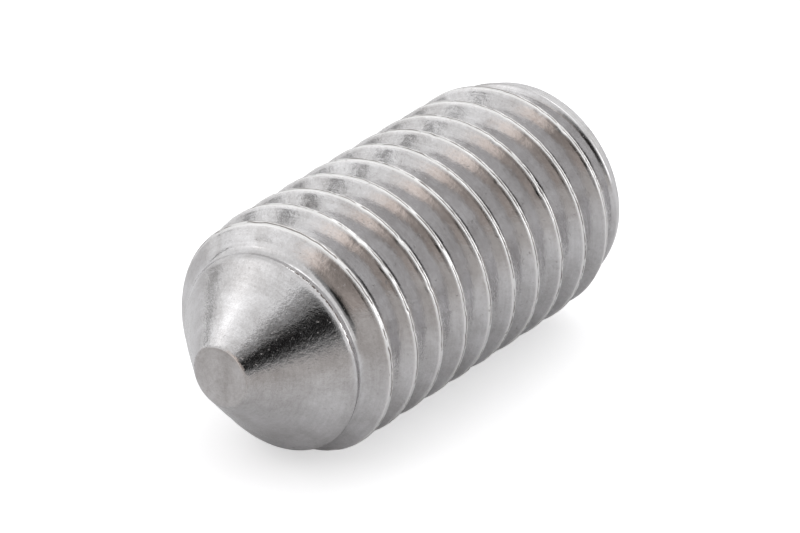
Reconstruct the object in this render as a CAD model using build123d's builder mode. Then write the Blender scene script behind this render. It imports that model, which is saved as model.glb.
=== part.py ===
"""Socket set screw with a cone point, M8 x 1.25 x 16: one piece of turned and thread-rolled steel.

It lies on its thread, as it comes to rest on a bench. Its axis runs along Y, one crest radius
above the bench, with the point towards -Y and the hexagon socket towards +Y. The origin is on
the bench, under the middle of the screw. Sizes are in millimetres and degrees.
"""

from build123d import *
from math import ceil, cos, pi, radians, sin, sqrt, tan
import os

os.makedirs("parts", exist_ok=True)

# Body
length = 15.87  # point face to socket face
crest_radius = 3.89  # over the crests of the thread
point_face_radius = 0.985  # the flat that cuts off the cone
point_half_angle = 45.0  # the cone's side to the axis
end_face_radius = 3.42  # of the socket face, where the taper meets it
end_taper_half_angle = 18.0  # the last turn's taper to the axis

# Thread, right-hand
pitch = 1.25
flank_half_angle = 30.0  # each flank to the plane across the axis
crest_flat = 0.17  # width of a crest along the axis
root_radius = 0.20  # round at the bottom of the groove, tangent to both flanks
first_crest = 3.33  # point face to the first whole crest, along the +X side

# Hexagon socket
socket_across_flats = 4.03
socket_depth = 5.0  # of the full hexagon
socket_drill_half_angle = 60.0  # of the drilled hollow under the hexagon
socket_mouth_radius = 2.45  # of the countersink, on the socket face
socket_mouth_half_angle = 60.0

# How far the rolled rod and the turned outline pass each other where one cuts the other
overrun = 0.5

# The groove's section along the axis: two flanks from the point where they would meet
flank_slope = tan(radians(flank_half_angle))
groove_half_width = (pitch - crest_flat) / 2
flanks_meet_radius = crest_radius - groove_half_width / flank_slope
root_centre_radius = flanks_meet_radius + root_radius / sin(radians(flank_half_angle))
root_half_width = root_radius * cos(radians(flank_half_angle))


def groove_radius(offset):
    """The groove's radius at a distance along the axis from its middle."""
    if abs(offset) < root_half_width:
        return root_centre_radius - sqrt(root_radius**2 - offset**2)
    return flanks_meet_radius + abs(offset) / flank_slope


def groove_outline(steps=12):
    """The same groove as it shows in a cut across the axis, where a pitch is a whole turn."""
    points = []
    for step in range(-steps, steps + 1):
        offset = groove_half_width * step / steps
        turn = 2 * pi * offset / pitch
        radius = groove_radius(offset)
        points.append((radius * cos(turn), radius * sin(turn)))
    return points


# Threaded rod: one cut across the thread, carried up the axis as it turns. Each turn is a solid
# that starts and ends on the same section, so the turns stack
turn_count = ceil((length + 2 * overrun) / pitch)
with BuildSketch(Plane.XY.offset(-overrun)) as thread_section:
    with BuildLine():
        groove = groove_outline()
        Spline(*groove)
        ThreePointArc(groove[-1], (-crest_radius, 0), groove[0])
    make_face()
thread_turn = Solid.extrude_linear_with_rotation(
    thread_section.sketch.face(),
    center=(0, 0, -overrun),
    normal=(0, 0, pitch),
    angle=360,
)
with BuildPart() as threaded_rod:
    with Locations([(0, 0, turn * pitch) for turn in range(turn_count)]):
        add(thread_turn, clean=False)

# At the rod's foot the groove faces +X and the crest is half a pitch higher there. This turn
# brings that crest to its place
crest_turn = 360 * (pitch / 2 - overrun - first_crest) / pitch

# The screw stands on its point here, with its axis on Z
with BuildPart() as upright:
    # Turned outline, wider than the thread, so that only the cone and the end cut the rod
    with BuildSketch(Plane.XZ):
        with BuildLine():
            outer_radius = crest_radius + overrun
            cone_height = (outer_radius - point_face_radius) / tan(radians(point_half_angle))
            taper_length = (outer_radius - end_face_radius) / tan(radians(end_taper_half_angle))
            Polyline(
                (0, 0),
                (point_face_radius, 0),
                (outer_radius, cone_height),
                (outer_radius, length - taper_length),
                (end_face_radius, length),
                (0, length),
                close=True,
            )
        make_face()
    revolve(axis=Axis.Z)
    add(threaded_rod.part, rotation=(0, 0, crest_turn), mode=Mode.INTERSECT)

    # Hexagon socket, the drilled hollow under it and the countersink at its mouth
    with BuildSketch(Plane.XY.offset(length - socket_depth)):
        RegularPolygon(socket_across_flats / 2, 6, major_radius=False)
    extrude(amount=socket_depth, mode=Mode.SUBTRACT)
    with BuildSketch(Plane.XZ):
        with BuildLine():
            drill_radius = socket_across_flats / 2
            hexagon_floor = length - socket_depth
            drill_tip = hexagon_floor - drill_radius / tan(radians(socket_drill_half_angle))
            Polyline((0, hexagon_floor), (drill_radius, hexagon_floor), (0, drill_tip), close=True)
        make_face()
        with BuildLine():
            mouth_tip = length - socket_mouth_radius / tan(radians(socket_mouth_half_angle))
            Polyline((0, length), (socket_mouth_radius, length), (0, mouth_tip), close=True)
        make_face()
    revolve(axis=Axis.Z, mode=Mode.SUBTRACT)

# Laid down, point towards -Y
with BuildPart() as set_screw:
    with Locations((0, -length / 2, crest_radius)):
        add(upright.part, rotation=(-90, 0, 0))

set_screw.part.label = "set_screw"
export_step(set_screw.part, "parts/set_screw.step")
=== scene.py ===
# %% [markdown]
# A grub set screw lies on its thread on a pale bench. The construction model already has every
# size and place, so this script keeps that frame and makes the looks: the rolled thread with its
# worn crests, the polished cone point, the punched hexagon socket, the steel and the light.

# %% Open the frame
import bpy
import bmesh
import math
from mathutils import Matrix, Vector
from types import SimpleNamespace


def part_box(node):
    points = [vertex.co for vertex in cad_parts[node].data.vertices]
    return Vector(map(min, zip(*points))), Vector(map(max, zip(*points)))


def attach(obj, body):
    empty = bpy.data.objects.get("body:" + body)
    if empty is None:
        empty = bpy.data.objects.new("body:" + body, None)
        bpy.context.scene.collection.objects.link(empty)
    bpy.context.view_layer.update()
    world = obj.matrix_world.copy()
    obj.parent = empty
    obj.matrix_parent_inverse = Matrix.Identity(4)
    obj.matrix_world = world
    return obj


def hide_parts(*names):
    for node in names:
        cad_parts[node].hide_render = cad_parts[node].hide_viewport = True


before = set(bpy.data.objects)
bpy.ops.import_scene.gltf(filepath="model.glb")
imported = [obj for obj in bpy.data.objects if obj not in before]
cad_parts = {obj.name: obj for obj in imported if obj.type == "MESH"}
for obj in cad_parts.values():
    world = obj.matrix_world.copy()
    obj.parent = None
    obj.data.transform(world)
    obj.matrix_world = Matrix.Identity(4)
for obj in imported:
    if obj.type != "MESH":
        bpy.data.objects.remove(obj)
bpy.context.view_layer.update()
low, high = (Vector(corner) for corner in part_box("set_screw"))
MM = 0.001
print("screw", [round(side / MM, 2) for side in high - low], "mm")

# %% [markdown]
# The screw is one solid of revolution with a groove rolled round it, so a handful of sizes
# describes it. Length and crest radius come from the frame. The others are the standard's sizes
# for an M8 thread of 1.25 pitch and a 4 mm hexagon key.

# %% Sizes
LENGTH = high.y - low.y
CREST_RADIUS = (high.z - low.z) / 2
AXIS_HEIGHT = low.z + CREST_RADIUS
POINT_FACE_RADIUS = 0.985 * MM
END_FACE_RADIUS = 3.42 * MM
END_TAPER_SLOPE = math.tan(math.radians(18))

PITCH = 1.25 * MM
CREST_FLAT = 0.17 * MM
ROOT_RADIUS = 0.20 * MM
FIRST_CREST = 3.33 * MM  # point face to the first whole crest, along the +X side
FLANK_HALF_ANGLE = math.radians(30)
FLANK_SLOPE = math.tan(FLANK_HALF_ANGLE)
FLANKS_MEET = CREST_RADIUS - (PITCH - CREST_FLAT) / 2 / FLANK_SLOPE
ROOT_CENTRE = FLANKS_MEET + ROOT_RADIUS / math.sin(FLANK_HALF_ANGLE)
ROOT_HALF_WIDTH = ROOT_RADIUS * math.cos(FLANK_HALF_ANGLE)

MOUTH_RADIUS = 2.45 * MM
HEXAGON_RADIUS = 4.03 / 2 * MM  # to the flats
SOCKET_DEPTH = 5.0 * MM
SOCKET_SLOPE = math.tan(math.radians(60))  # of the countersink and of the drilled hollow
DRILL_DEPTH = HEXAGON_RADIUS / SOCKET_SLOPE
print("thread depth", round((CREST_RADIUS - ROOT_CENTRE + ROOT_RADIUS) / MM, 3), "mm")

# %% [markdown]
# Both the thread and the steel follow rules, and Blender writes a rule as Math nodes. Placing
# those nodes one by one hides the sum that they stand for, so this helper takes the sum as plain
# code and puts the nodes down. It works in a geometry tree and in a shader tree alike.

# %% Node helpers
class Sums:
    """Writes sums as Math nodes in one node tree."""

    def __init__(self, tree):
        self.tree = tree

    def put(self, socket, value):
        if isinstance(value, bpy.types.NodeSocket):
            self.tree.links.new(value, socket)
        else:
            socket.default_value = value

    def do(self, operation, *values):
        node = self.tree.nodes.new("ShaderNodeMath")
        node.operation = operation
        for socket, value in zip(node.inputs, values):
            self.put(socket, value)
        return node.outputs[0]

    def add(self, *values):
        total = values[0]
        for value in values[1:]:
            total = self.do("ADD", total, value)
        return total

    def sub(self, a, b):
        return self.do("SUBTRACT", a, b)

    def mul(self, *values):
        product = values[0]
        for value in values[1:]:
            product = self.do("MULTIPLY", product, value)
        return product

    def div(self, a, b):
        return self.do("DIVIDE", a, b)

    def ramp(self, value, start, end, low=0.0, high=1.0, smooth=True):
        node = self.tree.nodes.new("ShaderNodeMapRange")
        node.interpolation_type = "SMOOTHSTEP" if smooth else "LINEAR"
        for socket, number in zip(node.inputs, (value, start, end, low, high)):
            self.put(socket, number)
        return node.outputs[0]

    def mix(self, share, a, b):
        return self.add(a, self.mul(share, self.sub(b, a)))

    def blend(self, share, under, over):
        """The same as mix, for colours."""
        node = self.tree.nodes.new("ShaderNodeMix")
        node.data_type = "RGBA"
        self.put(node.inputs["Factor"], share)
        self.put(node.inputs["A"], under)
        self.put(node.inputs["B"], over)
        return node.outputs["Result"]

    def vector(self, x, y, z):
        node = self.tree.nodes.new("ShaderNodeCombineXYZ")
        for socket, value in zip(node.inputs, (x, y, z)):
            self.put(socket, value)
        return node.outputs[0]

    def along(self, vector, axis):
        """How far a vector reaches along an axis."""
        node = self.tree.nodes.new("ShaderNodeVectorMath")
        node.operation = "DOT_PRODUCT"
        self.put(node.inputs[0], vector)
        node.inputs[1].default_value = axis
        return node.outputs["Value"]

    def noise(self, vector, scale, detail=3.0, roughness=0.55, distortion=0.0):
        node = self.tree.nodes.new("ShaderNodeTexNoise")
        self.put(node.inputs["Vector"], vector)
        node.inputs["Scale"].default_value = scale
        node.inputs["Detail"].default_value = detail
        node.inputs["Roughness"].default_value = roughness
        node.inputs["Distortion"].default_value = distortion
        return node.outputs[0]


# %% [markdown]
# The steel is one metal with several finishes. The cone is turned and tumbled bright, the flanks
# are burnished by the rolling dies, and the crests are where the metal folded up: bright, rough
# and nicked, with a dark seam here and there. Separate materials would meet in hard lines, and
# painted masks would need an unwrapped mesh. So the shader finds each zone from the distance to
# the axis and along it, and the finish stays on its place from every side. The first cell measures
# where a point of the surface lies. All distances in the shader are in millimetres.

# %% Steel places
def steel_places(tree, sums):
    """Where a point of the surface lies: from the axis, the point face and the nearest crest."""
    coordinates = tree.nodes.new("ShaderNodeTexCoord")
    mapping = tree.nodes.new("ShaderNodeMapping")
    mapping.inputs["Location"].default_value = (0, 0, -AXIS_HEIGHT / MM)
    mapping.inputs["Scale"].default_value = (1 / MM,) * 3
    tree.links.new(coordinates.outputs["Object"], mapping.inputs["Vector"])
    split = tree.nodes.new("ShaderNodeSeparateXYZ")
    tree.links.new(mapping.outputs[0], split.inputs[0])
    across, along, height = split.outputs
    radius = sums.do("SQRT", sums.add(sums.mul(across, across), sums.mul(height, height)))
    from_point = sums.add(along, LENGTH / MM / 2)

    turns = sums.div(sums.do("ARCTAN2", sums.mul(height, -1.0), across), 2 * math.pi)
    phase = sums.sub(sums.div(sums.sub(from_point, FIRST_CREST / MM), PITCH / MM), turns)
    past_root = sums.add(phase, 0.5)
    return SimpleNamespace(
        spot=mapping.outputs[0],
        radius=radius,
        from_point=from_point,
        unit_across=sums.div(across, radius),
        unit_height=sums.div(height, radius),
        which_turn=sums.do("FLOOR", past_root),
        from_crest=sums.mul(sums.sub(sums.do("FRACT", past_root), 0.5), PITCH / MM),
    )


# %% [markdown]
# The zones are shares from 0 to 1 with soft ends. On the cone, the distance from the point face
# is less than the radius by the same amount everywhere, so that one difference tells the cone, its
# rim and the thread apart. The rim was torn by the tool only on its upper right side.

# %% Steel zones
def steel_zones(sums, place):
    """How much of each finish a point of the surface has."""
    radius, from_point = place.radius, place.from_point
    crest_radius, length = CREST_RADIUS / MM, LENGTH / MM
    past_cone = sums.sub(from_point, radius)
    cone = sums.ramp(past_cone, -0.90, -1.02)
    off_cone = sums.sub(1.0, cone)
    high_up = sums.ramp(radius, crest_radius - 0.50, crest_radius - 0.10)
    near_crest = sums.ramp(sums.do("ABSOLUTE", place.from_crest), 0.125, 0.085)
    upper_right = sums.add(sums.mul(place.unit_across, 0.70), sums.mul(place.unit_height, 0.71))
    return SimpleNamespace(
        cone=cone,
        off_cone=off_cone,
        high_up=high_up,
        crest=sums.mul(near_crest, high_up, off_cone),
        cone_rim=sums.mul(
            sums.ramp(past_cone, -0.93, -0.90),
            sums.ramp(past_cone, -0.80, -0.83),
            sums.ramp(radius, crest_radius - 0.10, crest_radius - 0.18),
            sums.ramp(from_point, 1.9, 2.2),
            sums.ramp(upper_right, 0.78, 0.93),
        ),
        last_turn=sums.mul(sums.ramp(from_point, length - 1.2, length - 0.7), high_up),
        point_face=sums.ramp(from_point, 0.03, 0.0),
        socket=sums.mul(
            sums.ramp(radius, MOUTH_RADIUS / MM, MOUTH_RADIUS / MM - 0.05),
            sums.do("GREATER_THAN", from_point, length / 2),
        ),
    )


# %% [markdown]
# Rolling and turning both draw fine lines round a screw. A noise that is stretched round the axis
# gives such lines, and each turn of the thread is shifted so that no two turns look the same. The
# other noises are even in all directions: stains, soft dents, mottling, grain and pits.

# %% Steel patterns
def steel_patterns(sums, place):
    """Noises from 0 to 1, from lines round the axis to pits."""
    ring_lines = sums.vector(
        sums.mul(place.unit_across, 2.2),
        sums.add(sums.mul(place.radius, 15.0), sums.mul(place.which_turn, 3.7)),
        sums.mul(place.unit_height, 2.2),
    )
    crest_lines = sums.vector(
        sums.mul(place.unit_across, 9.0),
        sums.add(sums.mul(place.from_crest, 30.0), sums.mul(place.which_turn, 5.3)),
        sums.mul(place.unit_height, 9.0),
    )
    return SimpleNamespace(
        streaks=sums.noise(ring_lines, 1.0, 4.0, 0.6),
        crest_grain=sums.noise(crest_lines, 1.6, 4.0, 0.65),
        blotches=sums.noise(place.spot, 0.9, 3.0, 0.55, 0.6),
        waves=sums.noise(place.spot, 2.6, 2.0, 0.5),
        mottle=sums.noise(place.spot, 9.0, 3.0, 0.6),
        grain=sums.noise(place.spot, 24.0, 3.0, 0.7),
        pits=sums.noise(place.spot, 7.5, 4.0, 0.75, 0.4),
        patches=sums.noise(place.spot, 1.3, 2.0, 0.5),
    )


# %% [markdown]
# Dirt and oil stay where the metal is torn. There are four such marks: the seam that wanders along
# the middle of the crests, the ragged edge beside it, the torn rim of the cone, and small pits. The
# ragged edge lies on each crest's far side and is partly painted shade, for the shaded groove seen
# beyond the crest. The darkest one wins at each place, because marks that are added up would turn
# black.

# %% Steel marks
def steel_marks(sums, place, zone, pattern):
    """The share of dark metal at a point of the surface."""
    wander = sums.mul(sums.sub(pattern.waves, 0.5), 0.10)
    from_seam = sums.do("ABSOLUTE", sums.sub(place.from_crest, wander))
    seam = sums.mul(
        sums.ramp(from_seam, 0.030, 0.010),
        sums.ramp(sums.add(pattern.patches, sums.mul(place.from_point, 0.012)), 0.46, 0.55),
        zone.crest,
    )
    # painted shade in part: the dark ragged line on each crest's far edge stands for the shaded
    # groove beyond it, as well as for torn metal
    from_edge = sums.do("ABSOLUTE", sums.sub(place.from_crest, CREST_FLAT / MM / 2))
    torn_edge_and_shade = sums.mul(
        sums.ramp(from_edge, 0.05, 0.02),
        sums.ramp(pattern.crest_grain, 0.42, 0.56),
        zone.high_up,
        zone.off_cone,
    )
    torn_rim = sums.mul(zone.cone_rim, sums.ramp(pattern.mottle, 0.44, 0.54))
    specks = sums.mul(sums.ramp(pattern.pits, 0.62, 0.71), sums.mix(zone.crest, 0.40, 0.8))
    dark = sums.do("MAXIMUM", sums.mul(seam, 0.85), sums.mul(torn_edge_and_shade, 0.8))
    dark = sums.do("MAXIMUM", dark, torn_rim)
    return sums.do("MAXIMUM", dark, specks)


# %% [markdown]
# A metal's colour is the colour of its reflections. Clean steel is a pale grey, a little cooler
# where it is brighter. The worn crests are lighter, the punched socket is duller, and the marks
# are a dark brown.

# %% Steel colour
STAINED_STEEL = (0.425, 0.412, 0.41, 1)
CLEAN_STEEL = (0.675, 0.67, 0.68, 1)
WORN_STEEL = (0.80, 0.795, 0.79, 1)
PUNCHED_STEEL = (0.40, 0.385, 0.37, 1)
DARK_STEEL = (0.17, 0.145, 0.135, 1)


def steel_colour(tree, sums, zone, pattern, dark):
    stains = tree.nodes.new("ShaderNodeValToRGB")
    stained, clean = stains.color_ramp.elements
    stained.position, stained.color = 0.37, STAINED_STEEL
    clean.position, clean.color = 0.62, CLEAN_STEEL
    fine = sums.add(
        sums.mul(pattern.streaks, 0.3), sums.mul(pattern.mottle, 0.3), sums.mul(pattern.grain, 0.4)
    )
    tree.links.new(sums.mix(0.6, pattern.blotches, fine), stains.inputs[0])
    worn = sums.blend(sums.mul(zone.crest, 0.8), stains.outputs[0], WORN_STEEL)
    punched = sums.blend(sums.mul(zone.socket, 0.6), worn, PUNCHED_STEEL)
    return sums.blend(dark, punched, DARK_STEEL)


# %% [markdown]
# Roughness decides how sharp the reflections are. The cone is nearly a mirror, the flanks are
# satin, and the crests, the last turn, both ends and the socket are duller. Each zone is laid over
# the one before it.

# %% Steel roughness
POINT_FACE_ROUGHNESS = 0.30
DARK_ROUGHNESS = 0.55


def steel_roughness(sums, zone, pattern, dark):
    satin = sums.add(0.06, sums.mul(0.12, pattern.streaks), sums.mul(0.06, pattern.blotches))
    polished = sums.add(0.04, sums.mul(0.18, pattern.mottle))
    worn = sums.add(0.18, sums.mul(0.30, pattern.crest_grain))
    punched = sums.add(0.26, sums.mul(0.2, pattern.mottle))
    roughness = sums.mix(zone.cone, satin, polished)
    roughness = sums.mix(sums.do("MAXIMUM", zone.crest, zone.last_turn), roughness, worn)
    roughness = sums.mix(zone.point_face, roughness, POINT_FACE_ROUGHNESS)
    roughness = sums.mix(zone.socket, roughness, punched)
    return sums.mix(dark, roughness, DARK_ROUGHNESS)


# %% [markdown]
# Metal this bright shows dents of a few thousandths of a millimetre, because they bend the
# reflections. They are too small for the mesh, so a Bump node gives them. The flanks are mostly
# wavy, the cone is mostly mottled, and the crests are ploughed.

# %% Steel material
RELIEF_DEPTH = 0.010 * MM


def steel_relief(sums, zone, pattern, dark):
    ploughed = sums.do("MAXIMUM", zone.crest, sums.mul(zone.last_turn, 0.8))
    return sums.add(
        sums.mul(pattern.waves, sums.mix(zone.cone, 0.9, 0.5)),
        sums.mul(pattern.mottle, sums.mix(zone.cone, 0.25, 0.85)),
        sums.mul(pattern.streaks, sums.mix(zone.cone, 0.12, 0.02)),
        sums.mul(pattern.grain, sums.mix(zone.cone, 0.16, 0.36)),
        sums.mul(pattern.crest_grain, ploughed, 0.9),
        sums.mul(dark, -0.5),
    )


def steel_material():
    steel = bpy.data.materials.new("rolled_stainless_steel")
    steel.use_nodes = True
    tree = steel.node_tree
    sums = Sums(tree)
    place = steel_places(tree, sums)
    zone = steel_zones(sums, place)
    pattern = steel_patterns(sums, place)
    dark = steel_marks(sums, place, zone, pattern)

    bsdf = tree.nodes["Principled BSDF"]
    bsdf.inputs["Metallic"].default_value = 1.0
    sums.put(bsdf.inputs["Base Color"], steel_colour(tree, sums, zone, pattern, dark))
    sums.put(bsdf.inputs["Roughness"], steel_roughness(sums, zone, pattern, dark))
    bump = tree.nodes.new("ShaderNodeBump")
    bump.inputs["Strength"].default_value = 1.0
    bump.inputs["Distance"].default_value = RELIEF_DEPTH
    sums.put(bump.inputs["Height"], steel_relief(sums, zone, pattern, dark))
    sums.put(bsdf.inputs["Normal"], bump.outputs[0])
    return steel


STEEL = steel_material()
print("material", STEEL.name, len(STEEL.node_tree.nodes), "nodes")

# %% [markdown]
# A thread follows a rule, so Geometry Nodes can draw it. Cutting a groove with booleans leaves
# slivers, and a screw modifier can't run out into a cone. Here one long strip is wound round the
# axis at the thread's own pitch, so each row of its mesh follows a crest, a flank or a root, and
# every point's radius comes from the rule. These helpers name the tree's sizes, lay a flat grid
# and wind it round the axis.

# %% Winding helpers
def named_inputs(tree, sizes):
    """Adds a named input for each size and returns their sockets inside the tree."""
    for name, (kind, value) in sizes.items():
        item = tree.interface.new_socket(name, in_out="INPUT", socket_type=kind)
        item.default_value = value
    tree.interface.new_socket("Geometry", in_out="OUTPUT", socket_type="NodeSocketGeometry")
    return tree.nodes.new("NodeGroupInput").outputs


def unit_grid(tree, sums, columns, rows):
    """A flat grid whose points give u and v from 0 to 1."""
    grid = tree.nodes.new("GeometryNodeMeshGrid")
    grid.inputs["Size X"].default_value = 1.0
    grid.inputs["Size Y"].default_value = 1.0
    sums.put(grid.inputs["Vertices X"], sums.add(columns, 1.0))
    sums.put(grid.inputs["Vertices Y"], sums.add(rows, 1.0))
    position = tree.nodes.new("GeometryNodeInputPosition")
    split = tree.nodes.new("ShaderNodeSeparateXYZ")
    tree.links.new(position.outputs[0], split.inputs[0])
    return grid.outputs["Mesh"], sums.add(split.outputs[0], 0.5), sums.add(split.outputs[1], 0.5)


def wound(tree, sums, size, mesh, turn, radius, depth):
    """Winds a flat grid round the axis: turn in whole turns, depth from the point face."""
    angle = sums.mul(turn, 2 * math.pi)
    place = sums.vector(
        sums.mul(radius, sums.do("COSINE", angle)),
        sums.sub(depth, sums.mul(size["Length"], 0.5)),
        sums.sub(size["Axis height"], sums.mul(radius, sums.do("SINE", angle))),
    )
    move = tree.nodes.new("GeometryNodeSetPosition")
    tree.links.new(mesh, move.inputs["Geometry"])
    tree.links.new(place, move.inputs["Position"])
    return move.outputs[0]


# %% [markdown]
# The rows of the strip slant, so a circle across the screw would come out as a saw edge. Each
# column has one point moved onto the rim of the point face and one onto the rim of the socket
# face, so those two circles stay true. The rows are then drawn together at the crests, where the
# edges are, and stand further apart on the flanks.

# %% Stations along the strip
COLUMNS = 252
ROWS_PER_TURN = 20
STRIP_START = -POINT_FACE_RADIUS - PITCH
STRIP_TURNS = math.ceil((LENGTH + END_FACE_RADIUS - MOUTH_RADIUS - STRIP_START) / PITCH)
CREST_GATHERING = 0.55  # share of the most that rows can move before they cross


def stations(sums, size, turn, v):
    """Where each point of the strip lies along the axis, and its phase on the thread."""
    length, pitch = size["Length"], size["Pitch"]

    def phase_at(station):
        return sums.sub(sums.div(sums.sub(station, size["First crest"]), pitch), turn)

    reach = sums.add(sums.mul(v, size["Strip turns"]), turn)
    station = sums.add(STRIP_START, sums.mul(reach, pitch))
    for rim in (0.0, length):
        near = sums.do("COMPARE", station, rim, PITCH / ROWS_PER_TURN / 2)
        station = sums.mix(near, station, rim)
    gather = sums.mul(
        sums.ramp(station, 1.2 * MM, 2.4 * MM),
        sums.ramp(sums.sub(length, station), 0.1 * MM, 0.7 * MM),
        PITCH * CREST_GATHERING / (2 * math.pi),
    )
    pull = sums.mul(gather, sums.do("SINE", sums.mul(phase_at(station), 2 * math.pi)))
    station = sums.sub(station, pull)
    return station, phase_at(station)


print("strip of", STRIP_TURNS, "turns,", COLUMNS, "columns,", ROWS_PER_TURN, "rows a turn")

# %% [markdown]
# A rolled groove has two straight flanks, a round bottom and a flat crest between it and the next.
# The bottom is an arc that touches both flanks, so its centre and width come from the flank angle.
# A smooth minimum of groove and crest also rounds the crest's edges, as rolling does.

# %% Thread section
CREST_ROUNDING = 0.07 * MM


def thread_section(sums, size, phase):
    """The thread's radius, and the distance along the axis from the nearest crest's middle."""
    pitch = size["Pitch"]
    offset = sums.mul(sums.do("ABSOLUTE", sums.sub(sums.do("FRACT", phase), 0.5)), pitch)
    flank = sums.add(FLANKS_MEET, sums.div(offset, FLANK_SLOPE))
    inside = sums.do("MAXIMUM", sums.sub(ROOT_RADIUS**2, sums.mul(offset, offset)), 0.0)
    root = sums.sub(ROOT_CENTRE, sums.do("SQRT", inside))
    groove = sums.mix(sums.do("LESS_THAN", offset, ROOT_HALF_WIDTH), flank, root)
    thread = sums.do("SMOOTH_MIN", groove, size["Crest radius"], CREST_ROUNDING)
    return thread, sums.sub(sums.mul(0.5, pitch), offset)


print("groove's flanks would meet at radius", round(FLANKS_MEET / MM, 3), "mm")

# %% [markdown]
# Screws rub together in their box, so the crests are nicked, and rolling leaves a seam where the
# metal from both sides met. Both are cut into the mesh, because they show in the outline. The noise
# is read on a cylinder, so it closes after a turn, and the seed moves that cylinder through it.

# %% Wear on the crests
NICK_DEPTH = 0.035 * MM
SEAM_DEPTH = 0.030 * MM
SEED = 7.0


def worn_crests(tree, sums, size, turn, station, thread, from_crest):
    angle = sums.mul(turn, 2 * math.pi)
    around = sums.vector(
        sums.mul(sums.do("COSINE", angle), size["Crest radius"]),
        station,
        sums.mul(sums.do("SINE", angle), size["Crest radius"]),
    )
    moved = tree.nodes.new("ShaderNodeVectorMath")
    moved.operation = "ADD"
    tree.links.new(around, moved.inputs[0])
    tree.links.new(sums.vector(size["Seed"], size["Seed"], 0.0), moved.inputs[1])
    nicks = sums.mul(
        sums.ramp(sums.noise(moved.outputs[0], 1900.0, 3.0, 0.6), 0.56, 0.72),
        sums.ramp(from_crest, 0.16 * MM, 0.07 * MM),
    )
    seam = sums.mul(
        sums.ramp(sums.do("ABSOLUTE", from_crest), 0.030 * MM, 0.004 * MM),
        sums.ramp(sums.noise(moved.outputs[0], 420.0, 2.0), 0.42, 0.56),
        sums.ramp(station, 5.0 * MM, 11.0 * MM, 0.35, 1.0),
    )
    thread = sums.sub(thread, sums.mul(nicks, size["Nick depth"]))
    return sums.sub(thread, sums.mul(seam, size["Seam depth"]))


print("nicks", NICK_DEPTH / MM, "mm and seam", SEAM_DEPTH / MM, "mm deep")

# %% [markdown]
# The cone and the tapered end were turned on the bar, so they cut the thread. The lower of the two
# radii is kept at each place, and a wide smooth minimum at the cone gives the rounded lip that the
# first turn has. Beyond each end the strip runs on over the flat face, towards the axis.

# %% Turned outline
CONE_ROUNDING = 0.80 * MM
END_ROUNDING = 0.06 * MM
POINT_EDGE_ROUNDING = 0.05 * MM
END_EDGE_ROUNDING = 0.04 * MM


def turned_outline(sums, size, station, thread):
    """The radius and the depth from the point face, once the cone and the end are turned."""
    length, end_radius = size["Length"], size["End face radius"]
    cone = sums.add(size["Point face radius"], station)
    past_end = sums.sub(station, length)
    taper = sums.sub(end_radius, sums.mul(past_end, END_TAPER_SLOPE))
    end = sums.do("MINIMUM", taper, sums.sub(end_radius, past_end))
    radius = sums.do("SMOOTH_MIN", thread, cone, CONE_ROUNDING)
    radius = sums.do("SMOOTH_MIN", radius, end, END_ROUNDING)
    far_half = sums.do("GREATER_THAN", station, sums.mul(length, 0.5))
    radius = sums.do("MAXIMUM", radius, sums.mul(far_half, size["Socket mouth radius"]))
    depth = sums.do("SMOOTH_MAX", station, 0.0, POINT_EDGE_ROUNDING)
    return radius, sums.do("SMOOTH_MIN", depth, length, END_EDGE_ROUNDING)


def outside_strip(tree, sums, size):
    rows = sums.mul(size["Strip turns"], float(ROWS_PER_TURN))
    mesh, turn, v = unit_grid(tree, sums, size["Columns"], rows)
    station, phase = stations(sums, size, turn, v)
    thread, from_crest = thread_section(sums, size, phase)
    thread = worn_crests(tree, sums, size, turn, station, thread, from_crest)
    radius, depth = turned_outline(sums, size, station, thread)
    return wound(tree, sums, size, mesh, turn, radius, depth)


print("cone starts at radius", POINT_FACE_RADIUS / MM, "mm")

# %% [markdown]
# The socket is punched into a drilled hole: a countersunk mouth, six walls, a flat ring and the
# drill's hollow. A second grid follows it from the mouth down, and its rows are shared out over
# those four parts, so that each edge between two parts falls on a row of its own.

# %% Socket
SOCKET_ROWS = 20
MOUTH_ROW, WALL_ROW, RING_ROW = 7.0, 11.0, 13.0  # where the mouth, the walls and the ring end
MOUTH_DEPTH = 0.26 * MM


def socket_strip(tree, sums, size):
    length, hexagon_radius = size["Length"], size["Hexagon radius"]
    mesh, turn, v = unit_grid(tree, sums, size["Columns"], float(SOCKET_ROWS))
    row = sums.mul(v, float(SOCKET_ROWS))
    mouth = sums.ramp(row, 0.0, MOUTH_ROW, smooth=False)
    wall = sums.ramp(row, MOUTH_ROW, WALL_ROW, smooth=False)
    ring = sums.ramp(row, WALL_ROW, RING_ROW, smooth=False)
    drill = sums.ramp(row, RING_ROW, float(SOCKET_ROWS), smooth=False)
    below = sums.add(
        sums.mul(mouth, MOUTH_DEPTH),
        sums.mul(wall, sums.sub(size["Socket depth"], MOUTH_DEPTH)),
        sums.mul(drill, DRILL_DEPTH),
    )
    sixth = sums.sub(sums.do("FRACT", sums.mul(turn, 6.0)), 0.5)
    flat_wall = sums.div(hexagon_radius, sums.do("COSINE", sums.mul(sixth, math.pi / 3)))
    countersink = sums.sub(size["Socket mouth radius"], sums.mul(below, SOCKET_SLOPE))
    radius = sums.do("MAXIMUM", countersink, flat_wall)
    radius = sums.mix(ring, radius, hexagon_radius)
    radius = sums.mul(radius, sums.sub(1.0, drill))
    return wound(tree, sums, size, mesh, turn, radius, sums.sub(length, below))


print("socket", SOCKET_DEPTH / MM, "mm deep and", round(DRILL_DEPTH / MM, 2), "mm of hollow below")

# %% [markdown]
# The two strips are joined where they share the rim of the mouth, merged and given the steel. The
# tree has every size as a named input, so another screw of the same kind needs only new numbers.

# %% Screw tree
MERGE_DISTANCE = 0.0005 * MM


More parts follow.
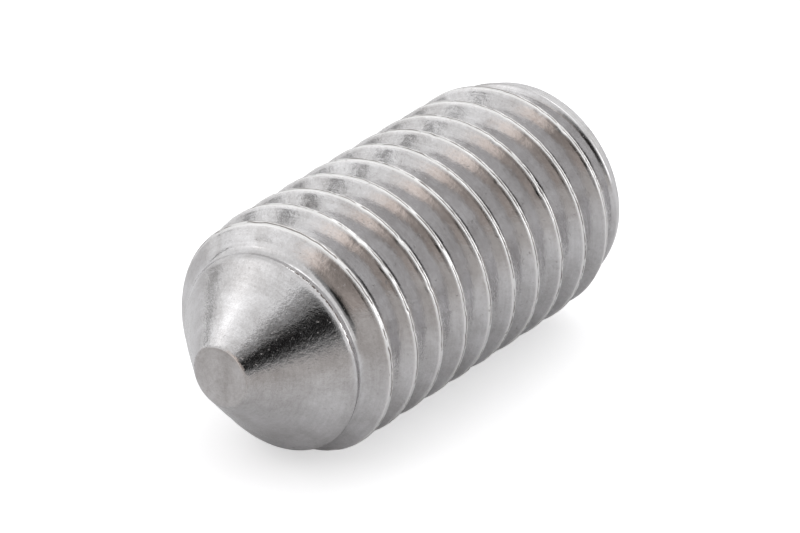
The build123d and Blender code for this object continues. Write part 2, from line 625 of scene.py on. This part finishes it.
def screw_tree():
    tree = bpy.data.node_groups.new("rolled_set_screw", "GeometryNodeTree")
    sums = Sums(tree)
    number, whole = "NodeSocketFloat", "NodeSocketInt"
    sizes = {
        "Length": (number, LENGTH),
        "Crest radius": (number, CREST_RADIUS),
        "Axis height": (number, AXIS_HEIGHT),
        "Pitch": (number, PITCH),
        "First crest": (number, FIRST_CREST),
        "Point face radius": (number, POINT_FACE_RADIUS),
        "End face radius": (number, END_FACE_RADIUS),
        "Socket mouth radius": (number, MOUTH_RADIUS),
        "Hexagon radius": (number, HEXAGON_RADIUS),
        "Socket depth": (number, SOCKET_DEPTH),
        "Nick depth": (number, NICK_DEPTH),
        "Seam depth": (number, SEAM_DEPTH),
        "Columns": (whole, COLUMNS),
        "Strip turns": (whole, STRIP_TURNS),
        "Seed": (number, SEED),
    }
    size = named_inputs(tree, sizes)
    join = tree.nodes.new("GeometryNodeJoinGeometry")
    outside, inside = outside_strip(tree, sums, size), socket_strip(tree, sums, size)
    tree.links.new(inside, join.inputs[0])
    tree.links.new(outside, join.inputs[0])
    merge = tree.nodes.new("GeometryNodeMergeByDistance")
    merge.inputs["Distance"].default_value = MERGE_DISTANCE
    tree.links.new(join.outputs[0], merge.inputs[0])
    smooth = tree.nodes.new("GeometryNodeSetShadeSmooth")
    tree.links.new(merge.outputs[0], smooth.inputs[0])
    realize = tree.nodes.new("GeometryNodeRealizeInstances")
    tree.links.new(smooth.outputs[0], realize.inputs[0])
    paint = tree.nodes.new("GeometryNodeSetMaterial")
    paint.inputs["Material"].default_value = STEEL
    tree.links.new(realize.outputs[0], paint.inputs[0])
    tree.links.new(paint.outputs[0], tree.nodes.new("NodeGroupOutput").inputs[0])
    return tree


SCREW_TREE = screw_tree()
print("screw tree", len(SCREW_TREE.nodes), "nodes")

# %% [markdown]
# A modifier runs the tree on an empty mesh, and its result is copied into a plain mesh. The real
# screw is one closed skin, so the mesh is closed and turned outwards as well: points that share a
# place are merged, which shuts the poles on the axis, and faces with no area go.

# %% Mesh helpers
def mesh_from_tree(name, tree):
    maker = bpy.data.objects.new(name + "_maker", bpy.data.meshes.new(name + "_start"))
    bpy.context.scene.collection.objects.link(maker)
    modifier = maker.modifiers.new("tree", "NODES")
    modifier.node_group = tree
    for item in tree.interface.items_tree:
        if item.in_out == "INPUT":
            modifier[item.identifier] = item.default_value
    ready = maker.evaluated_get(bpy.context.evaluated_depsgraph_get())
    mesh = bpy.data.meshes.new_from_object(ready)
    maker.modifiers.remove(modifier)
    bpy.data.objects.remove(maker)
    mesh.name = name
    return mesh


def tidy_shell(mesh):
    """Closes the mesh and points its faces outwards. Returns its open edges and its volume."""
    shell = bmesh.new()
    shell.from_mesh(mesh)
    bmesh.ops.remove_doubles(shell, verts=shell.verts, dist=MERGE_DISTANCE)
    bmesh.ops.dissolve_degenerate(shell, edges=shell.edges, dist=MERGE_DISTANCE)
    for vert in shell.verts:  # merging thousands of points on the axis rounds their place
        vert.co.y = min(max(vert.co.y, low.y), high.y)
    bmesh.ops.recalc_face_normals(shell, faces=shell.faces)
    open_edges = sum(not edge.is_manifold for edge in shell.edges)
    volume = shell.calc_volume(signed=True)
    if volume < 0:
        bmesh.ops.reverse_faces(shell, faces=shell.faces)
    shell.to_mesh(mesh)
    shell.free()
    return open_edges, volume


# %% [markdown]
# The screw stands in for the construction model's one solid. It moves with the root body and
# carries the steel.

# %% Screw
screw_mesh = mesh_from_tree("rolled_screw", SCREW_TREE)
open_edges, volume = tidy_shell(screw_mesh)
screw = bpy.data.objects.new("rolled_screw", screw_mesh)
bpy.context.scene.collection.objects.link(screw)
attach(screw, "root")
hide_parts("set_screw")
triangles = sum(len(face.vertices) - 2 for face in screw_mesh.polygons)
print("screw", triangles, "triangles,", open_edges, "open edges,", volume / MM**3, "mm3")

# %% [markdown]
# The bench is a plain pale sheet. A brighter lamp would make it white but would burn out the
# steel, so the sheet is lifted a little for the camera and for the steel's reflections instead,
# and it keeps the screw's soft shadow. Its front, beyond the picture, has a warmer painted shade,
# as if from the camera's stand, which only the steel sees in its reflections.

# %% Bench
BENCH_HALF_WIDTH = 0.6
PAPER = (0.76, 0.76, 0.77, 1)
SHADED_PAPER = (0.52, 0.495, 0.478, 1)
CAMERA_LIFT = 0.50
REFLECTION_LIFT = 0.02


def direction(azimuth, elevation):
    """The unit vector towards a panel. Azimuth 0 is towards the point, and 90 is to +X."""
    turn, lift = math.radians(azimuth), math.radians(elevation)
    flat = math.cos(lift)
    return (math.sin(turn) * flat, -math.cos(turn) * flat, math.sin(lift))


def paper_material():
    paper = bpy.data.materials.new("white_paper")
    paper.use_nodes = True
    tree = paper.node_tree
    sums = Sums(tree)
    rays = tree.nodes.new("ShaderNodeLightPath").outputs
    place = tree.nodes.new("ShaderNodeTexCoord").outputs["Object"]
    # painted shade: the paper's front is darker and warmer, and only the steel's reflections show
    # it
    shade = sums.ramp(sums.along(place, direction(8, 0)), 4 * MM, 19 * MM)
    lift = sums.add(
        sums.mul(rays["Is Camera Ray"], CAMERA_LIFT),
        sums.mul(rays["Is Glossy Ray"], REFLECTION_LIFT),
        sums.mul(rays["Is Transmission Ray"], REFLECTION_LIFT),
    )
    colour = sums.blend(sums.mul(shade, rays["Is Glossy Ray"]), PAPER, SHADED_PAPER)
    bsdf = tree.nodes["Principled BSDF"]
    bsdf.inputs["Roughness"].default_value = 0.9
    bsdf.inputs["Specular IOR Level"].default_value = 0.2
    bsdf.inputs["Emission Color"].default_value = (1, 1, 1, 1)
    sums.put(bsdf.inputs["Base Color"], colour)
    sums.put(bsdf.inputs["Emission Strength"], lift)
    return paper


def bench():
    side = BENCH_HALF_WIDTH
    mesh = bpy.data.meshes.new("bench")
    corners = [(-side, -side, 0), (side, -side, 0), (side, side, 0), (-side, side, 0)]
    mesh.from_pydata(corners, [], [(0, 1, 2, 3)])
    mesh.materials.append(paper_material())
    sheet = bpy.data.objects.new("bench", mesh)
    bpy.context.scene.collection.objects.link(sheet)
    print("bench", 2 * side, "m across, at height 0")


bench()

# %% [markdown]
# Bright metal looks like what stands round it, so the light is a small studio. It could be built
# from lamps and boards, but those would need moving by hand until each reflection fell into place.
# Here it is painted on the world instead: a panel is a round patch with a soft edge, placed by the
# direction in which it is seen from the screw, and each one is laid over those before it.

# %% Studio panels
class Studio:
    """Paints levels of light on the world by direction, with all angles in degrees."""

    def __init__(self, tree):
        self.sums = Sums(tree)
        self.seen = tree.nodes.new("ShaderNodeTexCoord").outputs["Generated"]

    def panel(self, level, azimuth, elevation, inner, outer, to):
        """Brings the level to a value inside a round patch, with a soft edge."""
        sums = self.sums
        away = sums.do("ARCCOSINE", sums.along(self.seen, direction(azimuth, elevation)))
        share = sums.ramp(away, math.radians(outer), math.radians(inner))
        return sums.mix(share, level, to)

    def gap(self, level, one, other, half_width, to):
        """A thin dark gap along the great circle through two directions, ahead of the screw."""
        sums = self.sums
        across = Vector(direction(*one)).cross(Vector(direction(*other))).normalized()
        away = sums.do("ABSOLUTE", sums.along(self.seen, across))
        width = math.sin(math.radians(half_width))
        share = sums.ramp(away, width, width * 0.75)
        ahead = self.panel(0.0, -86, 9, 14, 20, 1.0)
        return sums.mix(sums.mul(share, ahead), level, to)


# %% [markdown]
# The studio has white walls, one large soft box high on the left, lamps behind the screw, and the
# dark of the camera and its stand, which a screw this shiny always shows. The camera itself sees
# plain white behind the bench.

# %% Studio
WARM_TINT = (1.11, 0.98, 0.90)


def studio():
    world = bpy.data.worlds.new("studio")
    bpy.context.scene.world = world
    world.use_nodes = True
    tree = world.node_tree
    room = Studio(tree)
    level = 1.04
    level = room.panel(level, 170, 20, 50, 90, 1.00)  # wall behind the screw
    level = room.panel(level, 180, 48, 8, 26, 2.30)  # lamps behind and to the right
    level = room.panel(level, 138, 10, 6, 23, 3.30)
    level = room.panel(level, -59, 39, 8, 36, 1.36)  # soft box
    level = room.panel(level, -58, 38, 1, 8, 2.10)
    level = room.gap(level, (-87, 8), (-70, 16), 1.5, 0.02)  # between the soft box and the bench
    level = room.panel(level, -40, 20.5, 2.5, 5, 0.02)  # its stands
    level = room.panel(level, -61, 8, 2.5, 5, 0.15)
    level = room.panel(level, 38, 20, 31, 38.5, 0.33)  # camera stand and the one behind it
    level = room.panel(level, 17, 3, 3, 10, 0.47)
    level = room.panel(level, 37, 21, 13, 18, 0.01)  # camera
    warmth = room.panel(0.0, 6, 10, 16, 32, 1.0)

    sums = room.sums
    tint = tree.nodes.new("ShaderNodeCombineColor")
    for socket, warm_share in zip(tint.inputs, WARM_TINT):
        sums.put(socket, sums.mul(level, sums.mix(warmth, 1.0, warm_share)))
    background = tree.nodes["Background"]
    tree.links.new(tint.outputs[0], background.inputs["Color"])
    white = tree.nodes.new("ShaderNodeBackground")
    white.inputs["Color"].default_value = (1, 1, 1, 1)
    path = tree.nodes.new("ShaderNodeLightPath")
    switch = tree.nodes.new("ShaderNodeMixShader")
    tree.links.new(path.outputs["Is Camera Ray"], switch.inputs[0])
    tree.links.new(background.outputs[0], switch.inputs[1])
    tree.links.new(white.outputs[0], switch.inputs[2])
    tree.links.new(switch.outputs[0], tree.nodes["World Output"].inputs[0])
    print("studio", len(tree.nodes), "nodes")


studio()

# %% [markdown]
# A long lens looks down on the screw from in front of its point. A short one from nearer by would
# make the point look too large. The picture is framed by the screw's own middle, which lies a
# little left of and below the centre.

# %% Camera
CAMERA_AZIMUTH = 36.73
CAMERA_ELEVATION = 27.86
CAMERA_DISTANCE = 163.44 * MM
LENS = 239.5
FRAME_RIGHT = 0.591 * MM
FRAME_UP = 0.322 * MM


def camera():
    back = Vector(direction(CAMERA_AZIMUTH, CAMERA_ELEVATION))
    right = Vector((0, 0, 1)).cross(back).normalized()
    up = back.cross(right)
    middle = Vector((0, 0, AXIS_HEIGHT))
    aim = middle + right * FRAME_RIGHT + up * FRAME_UP
    data = bpy.data.cameras.new("camera")
    data.lens = LENS
    data.sensor_width = 36
    data.clip_start = 1 * MM
    eye = bpy.data.objects.new("camera", data)
    eye.location = aim + back * CAMERA_DISTANCE
    eye.rotation_euler = back.to_track_quat("Z", "Y").to_euler()
    bpy.context.scene.collection.objects.link(eye)
    bpy.context.scene.camera = eye
    print("camera", [round(value / MM, 1) for value in eye.location], "mm, lens", LENS, "mm")


camera()
bpy.context.scene.view_settings.view_transform = "Standard"
